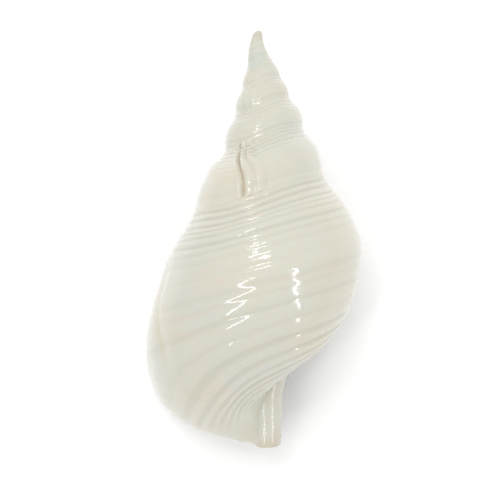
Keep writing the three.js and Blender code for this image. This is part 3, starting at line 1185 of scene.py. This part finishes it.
# ---------------------------------------------------------------- finish
@dataclass(frozen=True)
class PolishedShell:
    """Cream white polished shell with faint pink and tan bands, tan wear at the tip and the canal end, and
    painted shade in the grooves, along the seams, in the cracks of old lips and along the crease behind the
    lip.
    """

    cream: tuple[float, float, float, float] = (0.580, 0.555, 0.460, 1.0)
    cool: tuple[float, float, float, float] = (0.556, 0.554, 0.482, 1.0)
    pink: tuple[float, float, float, float] = (0.598, 0.512, 0.412, 1.0)
    # Tan: the shell's own wear colour at the tip and the canal end, and also the colour of the painted
    # shade along the seams and in the cracks.
    tan: tuple[float, float, float, float] = (0.46, 0.36, 0.22, 1.0)
    # Colour of the painted shade laid into the grooves.
    shade: tuple[float, float, float, float] = (0.435, 0.420, 0.345, 1.0)
    # Colour of the painted shade along the crease behind the lip.
    fold: tuple[float, float, float, float] = (0.50, 0.46, 0.31, 1.0)
    gloss: float = 0.12
    satin: float = 0.30
    pink_share: float = 0.38
    # Share of painted shade in the deepest grooves.
    groove_shade_share: float = 0.29
    # Share of painted shade along the seams between whorls.
    seam_shade_share: float = 0.14
    # Share of painted shade along the crease behind the lip.
    crease_shade_share: float = 0.55
    # Share of painted shade in the cracks of old lips.
    crack_shade_share: float = 0.75
    end_share: float = 0.35
    crack_turns: tuple[float, float] = (-1.25, -2.25)
    bump: float = 0.12
    bump_height: float = 0.0008
    index: float = 1.52
    coat: float = 0.6
    coat_roughness: float = 0.03
    glow: float = 0.12
    glow_depth: float = 0.004

    def build(self, relief: Relief) -> bpy.types.Material:
        """Makes the material.

        Args:
            relief: Cords and folds that the colours follow.

        Returns:
            The material.
        """
        made = bpy.data.materials.new("polished_shell")
        graph = emptied(made)
        chart = graph.value("ShaderNodeUVMap", {"uv_map": "chart"})
        turn, station, _ = graph.split(chart)
        groove = graph.value("ShaderNodeAttribute", {"attribute_type": "GEOMETRY",
                                                     "attribute_name": "groove"}, output="Fac")
        place = graph.node("ShaderNodeTexCoord").outputs["Object"]

        clouds = self._noise(graph, place, 28.0, 3.0)
        colour = graph.tint(self.cream, self.cool, graph.ramp(clouds, 0.35, 0.68))
        banded = graph.combine(turn * 7.0, station * 2.1, 0.0)
        bands = graph.ramp(self._noise(graph, banded, 1.0, 3.0), 0.54, 0.72)
        # where the painted shade along the crease behind the lip lies
        crease = relief.crease(graph, turn, station, 0.006, (6.0, 8.0))
        # painted shade in the crack: the deepest part of the groove mask, near the cracks' turns
        nearby = reduce(add, [graph.hump(turn, crack_turn, 0.06) for crack_turn in self.crack_turns])
        crack = graph.ramp(groove, 0.93, 1.0) * nearby
        tip = 0.5 - 0.5 * graph.ramp(turn, -8.6, -7.6)
        canal_end = graph.ramp(station, 13.5, 14.0)
        for paint, share in (
                (self.pink, self.pink_share * bands),
                # painted shade in the grooves, darker the deeper the groove
                (self.shade, self.groove_shade_share * graph.ramp(groove, 0.0, 0.55)),
                # painted shade along the seam, in tan
                (self.tan, self.seam_shade_share * graph.fall(station, 0.0, 0.22)),
                # painted shade along the crease behind the lip
                (self.fold, self.crease_shade_share * crease),
                # painted shade in the crack, in tan
                (self.tan, self.crack_shade_share * crack),
                (self.tan, self.end_share * graph.math("MAXIMUM", tip, canal_end))):
            colour = graph.tint(colour, paint, share)

        rough = graph.blend(self.gloss, self.satin, graph.math("MAXIMUM", 0.5 * groove, canal_end))
        lines = graph.combine(turn * 260.0, station * 1.2, 0.0)
        growth_lines = self._noise(graph, lines, 1.0, 2.0)
        ripples = self._noise(graph, place, 210.0, 2.0)
        height = 0.35 * growth_lines + 1.0 * ripples
        bump = graph.value("ShaderNodeBump", inputs={
            "Strength": self.bump, "Distance": self.bump_height, "Height": height})
        surface = graph.node("ShaderNodeBsdfPrincipled", inputs={
            "Base Color": colour, "Roughness": rough, "Normal": bump, "IOR": self.index,
            "Coat Weight": self.coat, "Coat Roughness": self.coat_roughness,
            "Subsurface Weight": self.glow, "Subsurface Scale": self.glow_depth})
        graph.node("ShaderNodeOutputMaterial", inputs={"Surface": surface.outputs[0]})
        return made

    @staticmethod
    def _noise(graph: Graph, place: Any, scale: float, detail: float) -> Formula:
        """Noise from 0 to 1."""
        return graph.value("ShaderNodeTexNoise", {"noise_dimensions": "3D"},
                           {"Vector": place, "Scale": scale, "Detail": detail, "Roughness": 0.5})


@dataclass(frozen=True)
class PaleFloor:
    """Matt white floor."""

    colour: tuple[float, float, float, float] = (0.94, 0.94, 0.94, 1.0)

    def build(self) -> bpy.types.Material:
        """Makes the material.

        Returns:
            The material.
        """
        made = bpy.data.materials.new("pale_floor")
        graph = emptied(made)
        surface = graph.node("ShaderNodeBsdfDiffuse", inputs={"Color": self.colour})
        graph.node("ShaderNodeOutputMaterial", inputs={"Surface": surface.outputs[0]})
        return made


# ---------------------------------------------------------------- the shell
@dataclass
class Shell:
    """The whole shell, one grown piece."""

    growth: Growth = field(default_factory=Growth)
    relief: Relief = field(default_factory=Relief)
    mesh: Mesh = field(default_factory=Mesh)
    finish: PolishedShell = field(default_factory=PolishedShell)

    def build(self) -> bpy.types.Object:
        """Returns:
            The finished object.
        """
        chart = Chart(self.growth, self.mesh)
        chart.outer_wall()
        chart.crown()
        chart.hollow()
        tree = GrowthTree(self.growth, self.relief, self.finish.build(self.relief))
        piece = tree.grow(chart.as_object())
        self.settle(piece)
        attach(piece, "root")
        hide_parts("shell")
        triangles = sum(len(face.vertices) - 2 for face in piece.data.polygons)
        log.info("shell: %d triangles", triangles)
        return piece

    @staticmethod
    def settle(piece: bpy.types.Object) -> None:
        """Moves the mesh so that the middle of its box is over the middle of the frame's box.

        Args:
            piece: The grown shell.
        """
        low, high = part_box("shell")
        middle = (low + high) / 2
        piece.data.transform(Matrix.Translation((middle.x, middle.y, low.z)))


# ---------------------------------------------------------------- studio
@dataclass(frozen=True)
class Lamp:
    """A flat light over the shell: metres, degrees from overhead toward each side, and watts."""

    name: str
    size: tuple[float, float]
    distance: float
    to_right: float
    to_tip: float
    power: float
    twist: float = 0.0
    mirrored: bool = True

    def place(self, aim: Vector) -> bpy.types.Object:
        """Hangs the light up.

        Args:
            aim: The point it faces.

        Returns:
            The light's object.
        """
        data = bpy.data.lights.new(self.name, "AREA")
        data.shape = "RECTANGLE"
        data.size, data.size_y = self.size
        data.energy = self.power
        facing = Matrix.Rotation(math.radians(self.to_right), 3, "Y") @ Matrix.Rotation(
            math.radians(-self.to_tip), 3, "X") @ Matrix.Rotation(math.radians(self.twist), 3, "Z")
        place = aim + facing @ Vector((0.0, 0.0, self.distance))
        made = bpy.data.objects.new(self.name, data)
        made.matrix_world = Matrix.LocRotScale(place, facing.to_quaternion(), None)
        made.visible_glossy = self.mirrored
        bpy.context.scene.collection.objects.link(made)
        return made


@dataclass
class Studio:
    """Floor, soft light and a camera that looks down on the shell's back."""

    growth: Growth
    shell: bpy.types.Object
    floor_side: float = 4.0
    distance: float = 0.340
    across: float = 0.243
    lean: float = -2.0
    turn: float = 4.0
    aside: float = -0.003888
    along: float = -0.10692
    sensor: float = 36.0
    room_light: float = 0.90
    lamps: tuple[Lamp, ...] = (
        Lamp("left_strip", (0.022, 0.46), 0.62, -26.0, -25.0, 0.50, twist=-44.0),
        Lamp("right_strip", (0.024, 0.36), 0.62, 41.0, -25.0, 0.40, twist=31.0),
        Lamp("cross_strip", (0.26, 0.024), 0.62, -6.0, 10.0, 0.28, twist=8.0),
        Lamp("small_lamp", (0.045, 0.060), 0.62, -11.0, 21.0, 0.10),
        Lamp("sky", (1.4, 1.4), 1.4, 12.0, 50.0, 5.6, mirrored=False),
    )

    def build(self) -> None:
        """Sets everything up around the shell."""
        self._floor()
        self._world()
        low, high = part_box("shell")
        aim = (low + high) / 2
        for lamp in self.lamps:
            lamp.place(aim)
            log.info("light %s", lamp.name)
        self._camera()

    def _floor(self) -> None:
        """Lays the floor at the height the shell rests on."""
        low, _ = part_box("shell")
        half = self.floor_side / 2
        mesh = bpy.data.meshes.new("floor")
        corners = [(x * half, y * half, low.z) for x, y in ((-1, -1), (1, -1), (1, 1), (-1, 1))]
        mesh.from_pydata(corners, [], [(0, 1, 2, 3)])
        mesh.materials.append(PaleFloor().build())
        floor = bpy.data.objects.new("floor", mesh)
        bpy.context.scene.collection.objects.link(floor)

    def _world(self) -> None:
        """Fills the room with even white light."""
        world = bpy.data.worlds.new("studio")
        graph = emptied(world)
        light = graph.node("ShaderNodeBackground", inputs={
            "Color": (1.0, 1.0, 1.0, 1.0), "Strength": self.room_light})
        graph.node("ShaderNodeOutputWorld", inputs={"Surface": light.outputs[0]})
        bpy.context.scene.world = world
        bpy.context.scene.view_settings.view_transform = "Standard"

    def _camera(self) -> None:
        """Hangs the camera over the back of the shell, square to its axis but for a small lean."""
        lying = Matrix.Rotation(math.radians(self.growth.pitch), 3, "X") @ Matrix.Rotation(
            math.radians(self.growth.roll), 3, "Y")
        view = Matrix.Rotation(math.radians(self.turn), 3, "Z") @ Matrix.Rotation(
            math.radians(self.lean), 3, "X")
        facing = lying @ view.transposed()
        axis = lying @ Vector((0.0, 1.0, 0.0))
        tip = max((vertex.co for vertex in self.shell.data.vertices), key=axis.dot)
        camera = bpy.data.cameras.new("camera")
        camera.sensor_width = self.sensor
        camera.lens = self.sensor * self.distance / self.across
        camera.clip_start = 0.01
        made = bpy.data.objects.new("camera", camera)
        place = tip + facing @ Vector((self.aside, self.along, self.distance))
        made.matrix_world = Matrix.LocRotScale(place, facing.to_quaternion(), None)
        bpy.context.scene.collection.objects.link(made)
        bpy.context.scene.camera = made


def main() -> None:
    """Builds the shell and its studio."""
    logging.basicConfig(level=logging.INFO, format="%(name)s: %(message)s")
    shell = Shell()
    piece = shell.build()
    Studio(shell.growth, piece).build()


if __name__ == "__main__":
    main()
